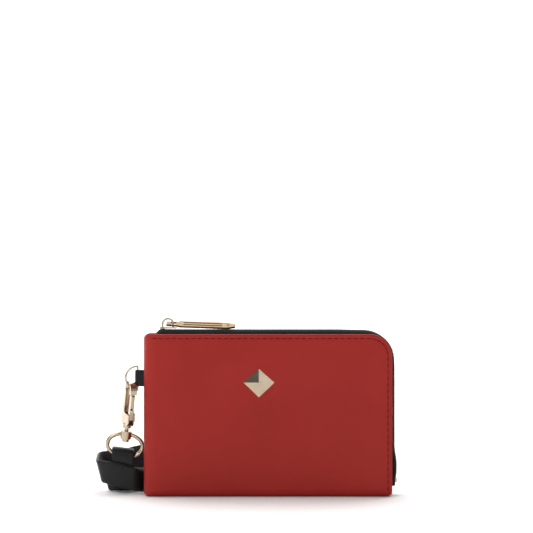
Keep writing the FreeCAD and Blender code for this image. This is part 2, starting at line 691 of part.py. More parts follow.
def main():
    os.makedirs("parts", exist_ok=True)
    stay = bend_side(False)
    free = bend_side(True)
    pins = [badge_pin(-1), badge_pin(1)]
    washer = badge_washer().cut(pins[0]).cut(pins[1])
    front = leather_half(-1)
    stiff_inset = 8.5
    front_stiffener = sheet(-1, LEATHER, STIFFENER, stiff_inset, stiff_inset)
    front_lining = sheet(-1, LEATHER + STIFFENER, LINING, 5.5, 3.0)
    base_leather = front.common(stay).cut(pins[0]).cut(pins[1])
    base_stiffener = front_stiffener.common(stay).cut(washer).cut(pins[0]).cut(pins[1])
    nodes = {
        "front_panel_base": base_leather,
        "front_panel_flap": front.common(free),
        "back_panel": leather_half(1),
        "seam_welt": seam_welt(),
        "front_stiffener_base": base_stiffener,
        "front_stiffener_flap": front_stiffener.common(free),
        "back_stiffener": sheet(1, LEATHER, STIFFENER, stiff_inset, stiff_inset),
        "front_lining_base": front_lining.common(stay),
        "front_lining_flap": front_lining.common(free),
        "back_lining": sheet(1, LEATHER + STIFFENER, LINING, 5.5, 3.0),
        "centre_divider": divider(),
        "tape_front": tape(-1),
        "tape_back": tape(1),
        "teeth_front": teeth(-1),
        "teeth_back": teeth(1),
        "top_stop_front": top_stop(-1),
        "top_stop_back": top_stop(1),
        "bottom_stop": bottom_stop(),
        "slider_body": slider_body(),
        "slider_bridge": slider_bridge(),
        "pull_tab": pull_tab(),
        "side_tab": side_tab(),
        "d_ring": d_ring(),
        "clasp_body": clasp_body(),
        "clasp_gate": clasp_gate(),
        "gate_pin": gate_pin(),
        "gate_spring": gate_spring(),
        "swivel_rivet": swivel_rivet(),
        "swivel_loop": swivel_loop(),
        "strap_tab": strap_tab(),
        "strap_loop_end": strap_loop_end(),
        "strap_lanes": strap_lanes().cut(strap_loop_end()),
        "badge": badge(),
        "badge_pin_left": pins[0],
        "badge_pin_right": pins[1],
        "badge_washer": washer,
    }
    for number in range(3):
        nodes["card_pocket_%d" % (number + 1)] = card_pocket(number)
    for name, shape in nodes.items():
        solids = shape.Solids
        valid = all(s.isValid() for s in solids)
        size = shape.BoundBox
        print("%-22s solids %d valid %s volume %.1f  x %.1f..%.1f y %.1f..%.1f z %.1f..%.1f" % (
            name, len(solids), valid, shape.Volume,
            size.XMin, size.XMax, size.YMin, size.YMax, size.ZMin, size.ZMax))
        kept = solids[0] if len(solids) == 1 else Part.makeCompound(solids)
        kept.exportStep("parts/%s.step" % name)


main()
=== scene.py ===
import math

import bpy
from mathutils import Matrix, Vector


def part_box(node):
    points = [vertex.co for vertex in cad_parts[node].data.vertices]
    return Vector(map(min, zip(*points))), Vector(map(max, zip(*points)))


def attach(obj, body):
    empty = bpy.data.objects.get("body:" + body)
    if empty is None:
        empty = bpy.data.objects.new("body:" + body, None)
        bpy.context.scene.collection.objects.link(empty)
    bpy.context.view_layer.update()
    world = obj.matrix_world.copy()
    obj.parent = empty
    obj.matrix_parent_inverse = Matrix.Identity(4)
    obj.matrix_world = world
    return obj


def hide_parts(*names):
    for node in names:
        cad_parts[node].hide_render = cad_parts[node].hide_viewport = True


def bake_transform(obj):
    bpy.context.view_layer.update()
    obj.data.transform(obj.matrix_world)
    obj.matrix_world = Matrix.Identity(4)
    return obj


# A wristlet wallet. Shapes are in millimetres, and mesh_piece() turns them into metres.
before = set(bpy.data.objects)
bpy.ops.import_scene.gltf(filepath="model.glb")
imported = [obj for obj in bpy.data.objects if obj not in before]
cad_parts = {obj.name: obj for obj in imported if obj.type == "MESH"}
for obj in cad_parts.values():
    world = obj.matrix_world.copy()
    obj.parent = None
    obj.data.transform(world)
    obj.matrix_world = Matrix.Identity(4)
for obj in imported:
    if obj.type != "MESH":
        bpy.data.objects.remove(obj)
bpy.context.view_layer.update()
MM = 0.001


def node_box(name):
    """The two corners of a CAD node's box, in millimetres."""
    low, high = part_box(name)
    return Vector(low) / MM, Vector(high) / MM


# ---------------------------------------------------------------- sizes, from the frame
_, BACK_HIGH = node_box("back_panel")
HALF_W = BACK_HIGH.x
HEIGHT = BACK_HIGH.z
HALF_D = BACK_HIGH.y

# ---------------------------------------------------------------- sizes of the panels
ZIP_CORNER_R = 13.5                     # the corner that the zip goes round
LOW_CORNER_R = 3.0                      # the other three corners
FOLD_R = 8.0                            # the fold at the left side
BASE_FOLD_R = 5.0                       # the fold at the base
EDGE_R = 0.7                            # the rounding of the leather's turned edge
LEATHER = 1.2
WELT_HALF = 0.4
TURN_IN = 2.5                           # the leather turned in behind its own edge
LINING_INSET = 2.7
COARSE_STEP = 1.6                       # mesh spacing where the face is plain
FINE_STEP = 0.55                        # mesh spacing near the zip corner and the stitching
STITCH_INSET = 2.6
STITCH_PITCH = 3.9
GROOVE_DEPTH = 0.20                     # how far the stitching pulls the leather in
GROOVE_WIDTH = 0.75
FRONT_PADDING = 0.75
BACK_PADDING = 0.3                      # less: the strap lies against the back
RISE_FADE = 3.0                         # the depth over which the padding fades out round a fold


# ---------------------------------------------------------------- materials

def new_material(name):
    """A material with its node tree, its shader and its object coordinates."""
    material = bpy.data.materials.new(name)
    material.use_nodes = True
    tree = material.node_tree
    shader = tree.nodes["Principled BSDF"]
    coords = tree.nodes.new("ShaderNodeTexCoord")
    return material, tree, shader, coords.outputs["Object"]


def noise(tree, coords, scale, detail=4.0, rough=0.5):
    node = tree.nodes.new("ShaderNodeTexNoise")
    node.inputs["Scale"].default_value = scale
    node.inputs["Detail"].default_value = detail
    node.inputs["Roughness"].default_value = rough
    tree.links.new(coords, node.inputs["Vector"])
    return node.outputs["Fac"]


def ramp(tree, value, low, high, low_colour, high_colour):
    node = tree.nodes.new("ShaderNodeValToRGB")
    node.color_ramp.elements[0].position = low
    node.color_ramp.elements[1].position = high
    node.color_ramp.elements[0].color = (*low_colour, 1)
    node.color_ramp.elements[1].color = (*high_colour, 1)
    tree.links.new(value, node.inputs["Fac"])
    return node.outputs["Color"]


def spread(tree, value, low, high):
    node = tree.nodes.new("ShaderNodeMapRange")
    node.inputs["To Min"].default_value = low
    node.inputs["To Max"].default_value = high
    tree.links.new(value, node.inputs["Value"])
    return node.outputs["Result"]


def bump(tree, shader, height, strength, distance, under=None):
    node = tree.nodes.new("ShaderNodeBump")
    node.inputs["Strength"].default_value = strength
    node.inputs["Distance"].default_value = distance
    tree.links.new(height, node.inputs["Height"])
    if under is not None:
        tree.links.new(under, node.inputs["Normal"])
    tree.links.new(node.outputs["Normal"], shader.inputs["Normal"])
    return node.outputs["Normal"]


def leather_material(name, dark, light, grain_mm, rough, grain_depth, gloss):
    """Nappa: a fine pebble of cells between creases, faint clouds of colour, and a soft gloss."""
    material, tree, shader, coords = new_material(name)
    clouds = noise(tree, coords, 28.0, 3.0)
    colour = ramp(tree, clouds, 0.3, 0.7, dark, light)
    cells = tree.nodes.new("ShaderNodeTexVoronoi")
    cells.feature = "DISTANCE_TO_EDGE"
    cells.inputs["Scale"].default_value = 1000.0 / grain_mm
    warp = tree.nodes.new("ShaderNodeVectorMath")
    warp.operation = "MULTIPLY_ADD"
    wobble = tree.nodes.new("ShaderNodeTexNoise")
    wobble.inputs["Scale"].default_value = 900.0
    tree.links.new(coords, wobble.inputs["Vector"])
    tree.links.new(wobble.outputs["Color"], warp.inputs[0])
    warp.inputs[1].default_value = (grain_mm * MM * 0.5,) * 3
    tree.links.new(coords, warp.inputs[2])
    tree.links.new(warp.outputs["Vector"], cells.inputs["Vector"])
    pebble = spread(tree, cells.outputs["Distance"], 0.0, 1.0)
    creases = noise(tree, coords, 160.0, 6.0, 0.6)
    first = bump(tree, shader, creases, 0.25, 0.00025)
    bump(tree, shader, pebble, grain_depth, 0.00018, first)
    tree.links.new(colour, shader.inputs["Base Color"])
    dulling = spread(tree, noise(tree, coords, 60.0), rough - 0.05, rough + 0.08)
    tree.links.new(dulling, shader.inputs["Roughness"])
    shader.inputs["Specular IOR Level"].default_value = gloss
    return material


def metal_material(name, colour, rough, scratch=0.12, edge_tint=(1.0, 1.0, 1.0)):
    """Plated zinc: polished, with faint hairlines, an uneven gloss and its own tint seen edge-on."""
    material, tree, shader, coords = new_material(name)
    stretch = tree.nodes.new("ShaderNodeMapping")
    stretch.inputs["Scale"].default_value = (1.0, 1.0, 9.0)
    tree.links.new(coords, stretch.inputs["Vector"])
    hair = noise(tree, stretch.outputs["Vector"], 700.0, 3.0)
    darker = tuple(c * 0.86 for c in colour)
    patches = ramp(tree, noise(tree, coords, 220.0), 0.3, 0.75, darker, colour)
    tree.links.new(patches, shader.inputs["Base Color"])
    tree.links.new(spread(tree, hair, rough - 0.04, rough + 0.1), shader.inputs["Roughness"])
    bump(tree, shader, hair, scratch, 0.00004)
    shader.inputs["Metallic"].default_value = 1.0
    shader.inputs["Specular Tint"].default_value = (*edge_tint, 1.0)
    return material


def woven_material(name, dark, light, pitch_mm, rough=0.85, depth=0.5, sheen=0.0, gloss=0.15):
    """A plain weave: two sets of ribs at right angles, with yarn-to-yarn variation."""
    material, tree, shader, coords = new_material(name)
    parts = []
    for direction in ("X", "Z"):
        wave = tree.nodes.new("ShaderNodeTexWave")
        wave.bands_direction = direction
        wave.inputs["Scale"].default_value = 500.0 / pitch_mm
        wave.inputs["Distortion"].default_value = 0.4
        tree.links.new(coords, wave.inputs["Vector"])
        parts.append(wave.outputs["Fac"])
    both = tree.nodes.new("ShaderNodeMath")
    both.operation = "MULTIPLY"
    tree.links.new(parts[0], both.inputs[0])
    tree.links.new(parts[1], both.inputs[1])
    uneven = tree.nodes.new("ShaderNodeMath")
    uneven.operation = "MULTIPLY_ADD"
    tree.links.new(noise(tree, coords, 350.0), uneven.inputs[0])
    uneven.inputs[1].default_value = 0.5
    tree.links.new(both.outputs[0], uneven.inputs[2])
    tree.links.new(ramp(tree, uneven.outputs[0], 0.1, 0.9, dark, light), shader.inputs["Base Color"])
    bump(tree, shader, both.outputs[0], depth, 0.00015)
    shader.inputs["Roughness"].default_value = rough
    shader.inputs["Sheen Weight"].default_value = sheen
    shader.inputs["Specular IOR Level"].default_value = gloss
    return material


RED_LEATHER = leather_material(
    "red_leather", (0.300, 0.0135, 0.0090), (0.335, 0.0160, 0.0110), 0.7, 0.50, 0.22, 0.22)
BLACK_LEATHER = leather_material(
    "black_leather", (0.004, 0.004, 0.0045), (0.009, 0.009, 0.0095), 0.6, 0.40, 0.35, 0.24)
# A lighter grey copy of the black leather for the wrist loop's inner side: painted light, standing for light
# from above falling on the strap.
LIT_GREY_STRAP_SIDE = leather_material(
    "strap_painted_light_side", (0.020, 0.0205, 0.022), (0.060, 0.062, 0.066), 0.45, 0.85, 0.8, 0.2)
PALE_GOLD = metal_material("pale_gold", (0.50, 0.412, 0.303), 0.15)
PULL_GOLD = metal_material("pull_gold", (0.36, 0.285, 0.205), 0.2, 0.12, (0.42, 0.36, 0.30))
TOOTH_METAL = metal_material("tooth_metal", (0.56, 0.47, 0.34), 0.25, 0.2)
SPRING_STEEL = metal_material("spring_steel", (0.55, 0.54, 0.52), 0.3)
TAPE_WEAVE = woven_material(
    "zip_tape", (0.004, 0.004, 0.0045), (0.012, 0.012, 0.013), 0.45, 0.85, 0.5, 0.03, 0.08)
LINING_WEAVE = woven_material("lining", (0.014, 0.013, 0.013), (0.040, 0.037, 0.036), 0.35, 0.7, 0.35, 0.35)
# The red thread's own colour, deepened with painted shade: darker than the leather, standing for the shadow
# in the stitch holes.
SHADED_RED_THREAD = woven_material("red_thread_painted_shade", (0.060, 0.004, 0.0035), (0.13, 0.009, 0.007), 0.3, 0.6, 0.6)
BLACK_THREAD = woven_material("black_thread", (0.012, 0.012, 0.012), (0.050, 0.050, 0.052), 0.3, 0.6, 0.6)


# ---------------------------------------------------------------- mesh helpers

def mesh_piece(name, verts, faces, materials, face_slots=None, smooth=True):
    """A named piece from points in millimetres."""
    mesh = bpy.data.meshes.new(name)
    mesh.from_pydata([tuple(c * MM for c in v) for v in verts], [], faces)
    mesh.update()
    for material in materials if isinstance(materials, (list, tuple)) else [materials]:
        mesh.materials.append(material)
    if face_slots:
        mesh.polygons.foreach_set("material_index", face_slots)
    if smooth:
        mesh.shade_smooth()
    piece = bpy.data.objects.new(name, mesh)
    bpy.context.scene.collection.objects.link(piece)
    return piece


def grid_faces(rows, columns, round_rows=False, round_columns=False):
    """The quads of a grid of points, closed on itself in either direction."""
    faces = []
    for i in range(rows if round_rows else rows - 1):
        for j in range(columns if round_columns else columns - 1):
            a = i * columns + j
            b = i * columns + (j + 1) % columns
            c = ((i + 1) % rows) * columns + (j + 1) % columns
            d = ((i + 1) % rows) * columns + j
            faces.append((a, b, c, d))
    return faces


def end_caps(rows, columns):
    """The two faces that close a tube of rings."""
    return [tuple(range(columns))[::-1], tuple(range((rows - 1) * columns, rows * columns))]


def ring_angles(spokes):
    return [2 * math.pi * k / spokes for k in range(spokes)]


def direction_at(line, i):
    """The direction of a line at one of its points."""
    return (line[min(i + 1, len(line) - 1)] - line[max(i - 1, 0)]).normalized()


def steps(start, end, count):
    return [start + (end - start) * i / (count - 1) for i in range(count)]


def subdivide(piece):
    """Subdivision, applied, so that the mesh is final before it rides."""
    modifier = piece.modifiers.new("smooth", "SUBSURF")
    modifier.levels = 1
    modifier.render_levels = 1
    graph = bpy.context.evaluated_depsgraph_get()
    fine = bpy.data.meshes.new_from_object(piece.evaluated_get(graph))
    piece.modifiers.clear()
    piece.data = fine
    piece.data.shade_smooth()
    return piece


def tube(name, line, radius, spokes, material):
    """A round wire along a line, with closed ends."""
    verts = []
    normal = Vector((0.3, 0.5, 0.8))
    for i, centre in enumerate(line):
        along = direction_at(line, i)
        normal = (normal - along * normal.dot(along)).normalized()
        side = along.cross(normal)
        for angle in ring_angles(spokes):
            verts.append(centre + (normal * math.cos(angle) + side * math.sin(angle)) * radius)
    faces = grid_faces(len(line), spokes, round_columns=True) + end_caps(len(line), spokes)
    return mesh_piece(name, verts, faces, material)


def smoothstep(low, high, value):
    t = min(max((value - low) / (high - low), 0.0), 1.0)
    return t * t * (3 - 2 * t)


# ---------------------------------------------------------------- panels

def closed_edge(fold, depth):
    """Samples of (distance from the edge, depth below the face) from the seam round the fold."""
    samples = [(0.0, depth - WELT_HALF), (0.0, (depth - WELT_HALF + fold) / 2)]
    for angle in steps(0.0, math.pi / 2, 9):
        samples.append((fold * (1 - math.cos(angle)), fold * (1 - math.sin(angle))))
    return samples


def across_samples(length, fold, depth, fine_from):
    """Samples over a whole panel: a closed edge, the flat, then an open edge turned over its end."""
    samples = closed_edge(fold, depth)
    flat_end = length - EDGE_R
    coarse = int((fine_from - fold) / COARSE_STEP)
    samples += [(p, 0.0) for p in steps(fold, fine_from, coarse)[1:]]
    fine = int((flat_end - fine_from) / FINE_STEP)
    samples += [(p, 0.0) for p in steps(fine_from, flat_end, fine)[1:]]
    for angle in steps(0.0, math.pi / 2, 5)[1:]:
        samples.append((flat_end + EDGE_R * math.sin(angle), EDGE_R * (1 - math.cos(angle))))
    samples.append((length, LEATHER))
    samples.append((length - TURN_IN, LEATHER + 0.05))
    return samples


def to_rounded_corner(x, z, corners):
    """Moves a point of the square outline into the rounded one."""
    for cx, cz, sx, sz, radius in corners:
        u = sx * (x - cx) / radius
        v = sz * (z - cz) / radius
        if u > 0 and v > 0:
            u = min(u, 1.0)
            v = min(v, 1.0)
            across = radius * u * math.sqrt(1 - v * v / 2)
            upward = radius * v * math.sqrt(1 - u * u / 2)
            return cx + sx * across, cz + sz * upward
    return x, z


def open_distance(x, z):
    """How far a point lies inside the top and right edges, round their corner."""
    radius = ZIP_CORNER_R
    cx = HALF_W - radius
    cz = HEIGHT - radius
    if x > cx and z > cz:
        return radius - math.hypot(x - cx, z - cz)
    return min(HALF_W - x, HEIGHT - z)


def padded_rise(x, z, full):
    """How far a padded face stands proud of its flat: full in the middle, pulled in at the stitching."""
    inside = open_distance(x, z)
    from_folds = min(x + HALF_W, z * 1.3)
    padding = full * smoothstep(STITCH_INSET + 0.3, STITCH_INSET + 16.0, inside)
    groove = -GROOVE_DEPTH * math.exp(-((inside - STITCH_INSET) / GROOVE_WIDTH) ** 2)
    return padding * smoothstep(3.0, 20.0, from_folds) + groove


def front_rise(x, z):
    """The front's padding, with a slow unevenness of 0.1 mm."""
    ease = 0.10 * math.sin(x * 0.061 + 0.8) * math.sin(z * 0.083 + 0.4)
    return padded_rise(x, z, FRONT_PADDING) + ease * smoothstep(6.0, 22.0, open_distance(x, z))


def back_rise(x, z):
    return padded_rise(x, z, BACK_PADDING)


def no_rise(x, z):
    return 0.0


def panel(name, side, inset, material, rise):
    """One half's sheet, front (-1) or back (1), inset from the outside by its depth in the layers."""
    width = 2 * HALF_W - inset * 2
    height = HEIGHT - inset * 2
    depth = HALF_D - inset
    radius = max(ZIP_CORNER_R - inset, 1.0)
    small = max(LOW_CORNER_R - inset, 0.8)
    left = -HALF_W + inset
    right = HALF_W - inset
    top = HEIGHT - inset
    corners = [
        (right - radius, top - radius, 1, 1, radius),
        (left + small, top - small, -1, 1, small),
        (left + small, inset + small, -1, -1, small),
        (right - small, inset + small, 1, -1, small),
    ]
    columns = across_samples(width, FOLD_R - inset, depth, width - radius)
    rows = across_samples(height, BASE_FOLD_R - min(inset, 2.0), depth, height - radius)
    verts = []
    for up, up_depth in rows:
        for along, along_depth in columns:
            x, z = to_rounded_corner(left + along, inset + up, corners)
            sunk = min(math.hypot(along_depth, up_depth), depth - WELT_HALF)
            y = depth - sunk + rise(x, z) * (1.0 - smoothstep(0.0, RISE_FADE, sunk))
            verts.append((x, side * y, z))
    faces = grid_faces(len(rows), len(columns))
    if side > 0:
        faces = [face[::-1] for face in faces]
    return mesh_piece(name, verts, faces, material)


front_leather = panel("front_leather", -1, 0.0, RED_LEATHER, front_rise)
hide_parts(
    "front_panel_base", "front_panel_flap", "front_stiffener_base", "front_stiffener_flap")
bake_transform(front_leather)

back_leather = panel("back_leather", 1, 0.0, RED_LEATHER, back_rise)
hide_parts("back_panel", "back_stiffener")
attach(back_leather, "wallet")

front_bag = panel("front_bag_lining", -1, LINING_INSET, LINING_WEAVE, no_rise)
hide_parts("front_lining_base", "front_lining_flap")
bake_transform(front_bag)

back_bag = panel("back_bag_lining", 1, LINING_INSET, LINING_WEAVE, no_rise)
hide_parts("back_lining")
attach(back_bag, "wallet")


# ---------------------------------------------------------------- the zip's path

TAPE_START = -68.5                      # runs are measured along the path from x = 0
TAPE_END_Z = 6.5
TAPE_STEP = 1.3
SLIDER_STOP_X = 57.0
TUCK = 2.7                              # how deep the tape starts, behind the slider
TURN_X = HALF_W - ZIP_CORNER_R
TURN_Z = HEIGHT - ZIP_CORNER_R
TURN_RUN = math.pi / 2 * ZIP_CORNER_R


def zip_point(run, height):
    """A point above the panels' edge at a run from x = 0, along the top, round the corner and down, with
    the direction along the edge."""
    if run <= TURN_X:
        out = Vector((0, 0, 1))
        along = Vector((1, 0, 0))
        base = Vector((run, 0, HEIGHT))
    elif run <= TURN_X + TURN_RUN:
        angle = (run - TURN_X) / ZIP_CORNER_R
        out = Vector((math.sin(angle), 0, math.cos(angle)))
        along = Vector((math.cos(angle), 0, -math.sin(angle)))
        base = Vector((TURN_X, 0, TURN_Z)) + out * ZIP_CORNER_R
    else:
        out = Vector((1, 0, 0))
        along = Vector((0, 0, -1))
        base = Vector((HALF_W, 0, TURN_Z - (run - TURN_X - TURN_RUN)))
    return base + out * height, along


def run_at_side(z):
    """The run at which the zip comes down the side to a given height."""
    return TURN_X + TURN_RUN + TURN_Z - z


def zip_sink(run):
    """How far the zip lies below its full height: tucked in behind the slider, pressed down round the
    corner, low along the side and standing proud again near its lower end."""
    corner = TURN_X + TURN_RUN / 2
    low = run_at_side(TAPE_END_Z)
    tucked = TUCK * (1 - smoothstep(-68.3, -65.2, run))
    eased = 0.28 * smoothstep(SLIDER_STOP_X - 18, SLIDER_STOP_X, run)
    pressed = eased + 1.62 * smoothstep(SLIDER_STOP_X, corner - 2, run)
    pressed *= 1 - 0.62 * smoothstep(corner, corner + 18, run)
    proud = 1.25 * smoothstep(low - 24, low - 13, run) * (1 - 0.7 * smoothstep(low - 10, low, run))
    return tucked + pressed - proud


# The tape's section: (distance from the middle of the mouth, height above the panels' edge).
TAPE_OUTSIDE = [
    (8.45, -6.0), (8.45, -1.0), (8.15, 0.1), (7.3, 1.15), (6.0, 1.85), (4.6, 2.25), (3.2, 2.5), (2.45, 2.62)]
TAPE_EDGE = [(2.0, 2.6), (1.75, 2.35), (1.8, 2.0), (2.2, 1.85)]
TAPE_INSIDE = [(3.2, 2.0), (4.5, 1.75), (5.8, 1.35), (6.95, 0.7), (7.7, -0.2), (7.95, -1.2), (7.95, -6.0)]


def tape(name, side, node):
    """A woven tape: sewn flat under the leather, arching in over the mouth to a corded edge."""
    profile = TAPE_OUTSIDE + TAPE_EDGE + TAPE_INSIDE
    verts = []
    end = run_at_side(TAPE_END_Z)
    runs = steps(TAPE_START, end, round((end - TAPE_START) / TAPE_STEP) + 1)
    for run in runs:
        sink = zip_sink(run)
        for y, height in profile:
            point, _ = zip_point(run, height - sink * smoothstep(-3.0, 1.2, height))
            verts.append((point.x, side * y, point.z))
    faces = grid_faces(len(runs), len(profile), round_columns=True) + end_caps(len(runs), len(profile))
    if side < 0:
        faces = [face[::-1] for face in faces]
    piece = mesh_piece(name, verts, faces, TAPE_WEAVE)
    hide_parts(node)
    return piece


front_tape = tape("front_zip_tape", -1, "tape_front")
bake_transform(front_tape)
back_tape = tape("back_zip_tape", 1, "tape_back")
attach(back_tape, "wallet")


# ---------------------------------------------------------------- teeth

TOOTH_PITCH = 2.4
TOOTH_LOW = 1.3                         # heights above the panels' edge
TOOTH_HIGH = 2.72
TOOTH_MIDDLE = -0.9                     # across the mouth; a tooth's layers shrink about it
# One tooth from above: (distance across the mouth, distance along the zip). Its clamp is on the tape, and
# its head is past the middle of the mouth.
TOOTH_OUTLINE = [
    (-2.7, -0.55), (-1.35, -0.62), (-0.75, -0.36), (-0.3, -0.34), (0.1, -0.52), (0.62, -0.5), (0.85, -0.2),
    (0.85, 0.2), (0.62, 0.5), (0.1, 0.52), (-0.3, 0.34), (-0.75, 0.36), (-1.35, 0.62), (-2.7, 0.55),
]
FIRST_TOOTH = -61.3
TEETH_END_Z = 11.5


def teeth(name, side, node):
    """A row of cast teeth clamped on the tape's edge, half a pitch on from the other row."""
    layers = [(TOOTH_LOW, 0.86), (TOOTH_LOW + 0.15, 1.0), (TOOTH_HIGH - 0.2, 1.0), (TOOTH_HIGH, 0.8)]
    verts = []
    faces = []
    size = len(TOOTH_OUTLINE)
    shell = grid_faces(len(layers), size, round_columns=True) + end_caps(len(layers), size)
    run = FIRST_TOOTH + (TOOTH_PITCH / 2 if side < 0 else 0.0)
    while run < run_at_side(TEETH_END_Z):
        base = len(verts)
        for height, scale in layers:
            point, along = zip_point(run, height - zip_sink(run))
            for across, down in TOOTH_OUTLINE:
                place = point + along * (down * scale)
                y = TOOTH_MIDDLE + (across - TOOTH_MIDDLE) * (0.5 + scale / 2)
                verts.append((place.x, -side * y, place.z))
        faces += [tuple(base + i for i in face) for face in shell]
        run += TOOTH_PITCH
    piece = mesh_piece(name, verts, faces, TOOTH_METAL, smooth=False)
    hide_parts(node)
    return piece


front_teeth = teeth("front_zip_teeth", -1, "teeth_front")
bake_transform(front_teeth)
back_teeth = teeth("back_zip_teeth", 1, "teeth_back")
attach(back_teeth, "wallet")


STOP_X = -66.75
STOP_HALF_LENGTH = 0.65
STOP_MIDDLE = (1.95, 2.1)               # y, and height above the panels' edge before the zip sinks
STOP_RADII = (0.95, 0.85)


def top_stop(name, side, node):
    """A crimped metal stop on one tape's edge, just behind the slider, where the tape dips in."""
    verts = []
    columns = 9
    spokes = 10
    middle_z = HEIGHT + STOP_MIDDLE[1] - zip_sink(STOP_X)
    for u in steps(-1.0, 1.0, columns):
        swell = 1 - abs(u) ** 4 * 0.45
        for angle in ring_angles(spokes):
            y = STOP_MIDDLE[0] + STOP_RADII[0] * swell * math.cos(angle)
            z = middle_z + STOP_RADII[1] * swell * math.sin(angle)
            verts.append((STOP_X + STOP_HALF_LENGTH * u, side * y, z))
    faces = grid_faces(columns, spokes, round_columns=True) + end_caps(columns, spokes)
    if side > 0:
        faces = [face[::-1] for face in faces]
    piece = mesh_piece(name, verts, faces, TOOTH_METAL)
    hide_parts(node)
    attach(piece, "wallet")


top_stop("front_top_stop", -1, "top_stop_front")
top_stop("back_top_stop", 1, "top_stop_back")


# ---------------------------------------------------------------- stitching

PANEL_STITCH = (3.0, 0.26)              # length and radius of one stitch
STITCH_START = 7.0                      # the first stitch, from the left side
STITCH_END_Z = 4.0
STITCH_PROUD = 0.06
STRAP_STITCH = (2.1, 0.2)
POCKET_STITCH = (2.1, 0.18)
STRAP_STITCH_PITCH = 2.7
STRAP_STITCH_INSET = 1.5                # in from the strap's edge
STRAP_STITCH_SUNK = 0.05                # below the strap's face
POCKET_STITCH_PITCH = 2.8
POCKET_STITCH_MARGIN = 3.0              # in from the pocket's sides
POCKET_STITCH_PROUD = 0.12
POCKET_STITCH_DROP = 2.2                # below the pocket's upper edge
# One stitch: (place along it, swelling of its radius).
STITCH_RINGS = [(-0.5, 0.25), (-0.42, 0.8), (-0.2, 1.0), (0.0, 1.05), (0.2, 1.0), (0.42, 0.8), (0.5, 0.25)]
STITCH_SPOKES = 6


def stitch_mesh(name, places, size, material):
    """Short plump stitches whose ends dip into the leather: places are (middle, along, out)."""
    length, radius = size
    verts = []
    faces = []
    shell = grid_faces(len(STITCH_RINGS), STITCH_SPOKES, round_columns=True)
    for middle, along, out in places:
        base = len(verts)
        side = along.cross(out).normalized()
        for place, swell in STITCH_RINGS:
            dip = -0.9 * radius * (2 * place) ** 4
            centre = middle + along * (place * length) + out * dip
            for angle in ring_angles(STITCH_SPOKES):
                verts.append(centre + (side * math.cos(angle) + out * math.sin(angle)) * radius * swell)
        faces += [tuple(base + i for i in face) for face in shell]
    return mesh_piece(name, verts, faces, material)


def panel_stitches(side):
    """Stitch places in the groove along the zip, from the left end of the top to the foot of the side."""
    places = []
    run = -HALF_W + STITCH_START
    end = run_at_side(STITCH_END_Z)
    while run < end:
        point, along = zip_point(run, -STITCH_INSET)
        rise = (front_rise if side < 0 else back_rise)(point.x, point.z)
        place = Vector((point.x, side * (HALF_D + rise + STITCH_PROUD), point.z))
        places.append((place, along, Vector((0, side, 0))))
        run += STITCH_PITCH
    return places


# The topstitch takes the red thread darkened with painted shade.
front_stitches = stitch_mesh("front_topstitch", panel_stitches(-1), PANEL_STITCH, SHADED_RED_THREAD)
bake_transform(front_stitches)
back_stitches = stitch_mesh("back_topstitch", panel_stitches(1), PANEL_STITCH, SHADED_RED_THREAD)
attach(back_stitches, "wallet")


# ---------------------------------------------------------------- ribbons: flat leather straps

UPPER_FACES = 4                         # the faces round a ribbon's section that make its upper side


def ribbon_section(half_w, half_t):
    """A ribbon's section as (across, out), from the upper left: flat, with rounded edges."""
    soft = half_t * 0.75
    return [
        (-half_w + soft, half_t), (-half_w * 0.5, half_t), (0, half_t), (half_w * 0.5, half_t),
        (half_w - soft, half_t), (half_w, half_t - soft), (half_w, -half_t + soft),
        (half_w - soft, -half_t), (half_w * 0.5, -half_t), (0, -half_t), (-half_w * 0.5, -half_t),
        (-half_w + soft, -half_t), (-half_w, -half_t + soft), (-half_w, half_t - soft),
    ]


def ribbon(name, stations, thickness, materials, closed=False):
    """A flat strap through stations of (centre, across, width). The side that along x across points to
    takes the second material, if there is one, and everything else the first."""
    count = len(stations)
    verts = []
    for i, (centre, across, width) in enumerate(stations):
        before = stations[(i - 1) % count][0] if closed or i > 0 else centre
        after = stations[(i + 1) % count][0] if closed or i < count - 1 else centre
        along = (after - before).normalized()
        across = (across - along * across.dot(along)).normalized()
        out = along.cross(across)
        section = ribbon_section(width / 2, thickness / 2)
        verts += [centre + across * a + out * b for a, b in section]
    size = len(section)
    faces = grid_faces(count, size, round_rows=closed, round_columns=True)
    slots = [1 if n % size < UPPER_FACES else 0 for n in range(len(faces))]
    if not closed:
        faces += end_caps(count, size)
        slots += [0, 0]
    return subdivide(mesh_piece(name, verts, faces, materials, slots if len(materials) > 1 else None))


def catmull_rom(p, q, r, s, t):
    """The curve from q to r at t, with p before them and s after."""
    square = (2 * p - 5 * q + 4 * r - s) * t * t
    cube = (3 * q - p - 3 * r + s) * t * t * t
    return 0.5 * (2 * q + (r - p) * t + square + cube)


def smooth_through(points, closed, per_span):
    """A smooth line of stations through the given (centre, across, width) stations."""
    count = len(points)
    line = []
    for i in range(count if closed else count - 1):
        span = [k % count if closed else min(max(k, 0), count - 1) for k in (i - 1, i, i + 1, i + 2)]
        four = [points[k] for k in span]
        for step in range(per_span):
            centre, across, width = (catmull_rom(*values, step / per_span) for values in zip(*four))
            line.append((centre, across.normalized(), width))
    if not closed:
        line.append(points[-1])
    return line


# ---------------------------------------------------------------- strap

STRAP_W = 14.0
STRAP_T = 2.0
TAB_LOW, TAB_HIGH = node_box("strap_tab")
LANES_LOW, LANES_HIGH = node_box("strap_lanes")
LOOP_LOW, _ = node_box("strap_loop_end")
LANES = steps(LANES_LOW.y + STRAP_T / 2, LANES_HIGH.y - STRAP_T / 2, 4)
FAR_X = LANES_HIGH.x - STRAP_T / 2
LEFT_X = LOOP_LOW.x + STRAP_T / 2
UPRIGHT = Vector((0, 0, 1))
LEANING = Vector((-0.26, 0, 0.97))


def station(x, y, z, across=UPRIGHT, width=STRAP_W):
    """A place on a strap's middle line, the direction across the strap there, and its width."""
    return Vector((x, y, z)), across, width


